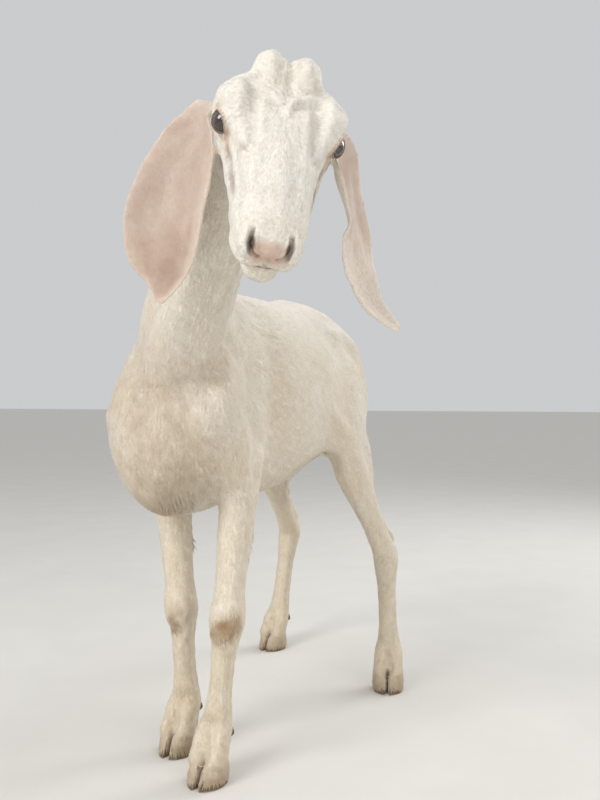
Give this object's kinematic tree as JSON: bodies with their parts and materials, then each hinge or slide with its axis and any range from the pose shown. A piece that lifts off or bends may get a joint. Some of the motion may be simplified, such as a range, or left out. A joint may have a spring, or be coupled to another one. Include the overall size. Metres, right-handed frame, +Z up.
{
  "type": "goat",
  "caption": "Life-size still model of a standing polled goat with long hanging ears, an arched nose and a short pale coat, looking to its left.",
  "frame": {"origin": "middle of the goat's outline seen from above, on the floor between the hooves", "axes": "+Z up, -Y the way the trunk faces, +X the goat's left"},
  "size_m": [0.5778, 1.0456, 0.9687],
  "materials": {
    "coat": "short cream-white hair lying flat over skin",
    "ear": "thin pinkish skin with fine short hair",
    "eye": "wet dark eyeball with a level slit pupil",
    "horn": "dull grey-brown hoof horn, soiled at the edge"
  },
  "bodies": {
    "root": {"head": "coat", "neck": "coat", "trunk": "coat", "tail": "coat", "ear_left": "ear", "ear_right": "ear", "eye_left": "eye", "eye_right": "eye", "foreleg_left_forearm": "coat", "foreleg_left_cannon": "coat", "foreleg_left_foot": "coat", "foreleg_left_hoof_outer": "horn", "foreleg_left_hoof_inner": "horn", "foreleg_left_dewclaw_outer": "horn", "foreleg_left_dewclaw_inner": "horn", "foreleg_right_forearm": "coat", "foreleg_right_cannon": "coat", "foreleg_right_foot": "coat", "foreleg_right_hoof_outer": "horn", "foreleg_right_hoof_inner": "horn", "foreleg_right_dewclaw_outer": "horn", "foreleg_right_dewclaw_inner": "horn", "hindleg_left_gaskin": "coat", "hindleg_left_cannon": "coat", "hindleg_left_foot": "coat", "hindleg_left_hoof_outer": "horn", "hindleg_left_hoof_inner": "horn", "hindleg_left_dewclaw_outer": "horn", "hindleg_left_dewclaw_inner": "horn", "hindleg_right_gaskin": "coat", "hindleg_right_cannon": "coat", "hindleg_right_foot": "coat", "hindleg_right_hoof_outer": "horn", "hindleg_right_hoof_inner": "horn", "hindleg_right_dewclaw_outer": "horn", "hindleg_right_dewclaw_inner": "horn"}
  },
  "joints": []
}
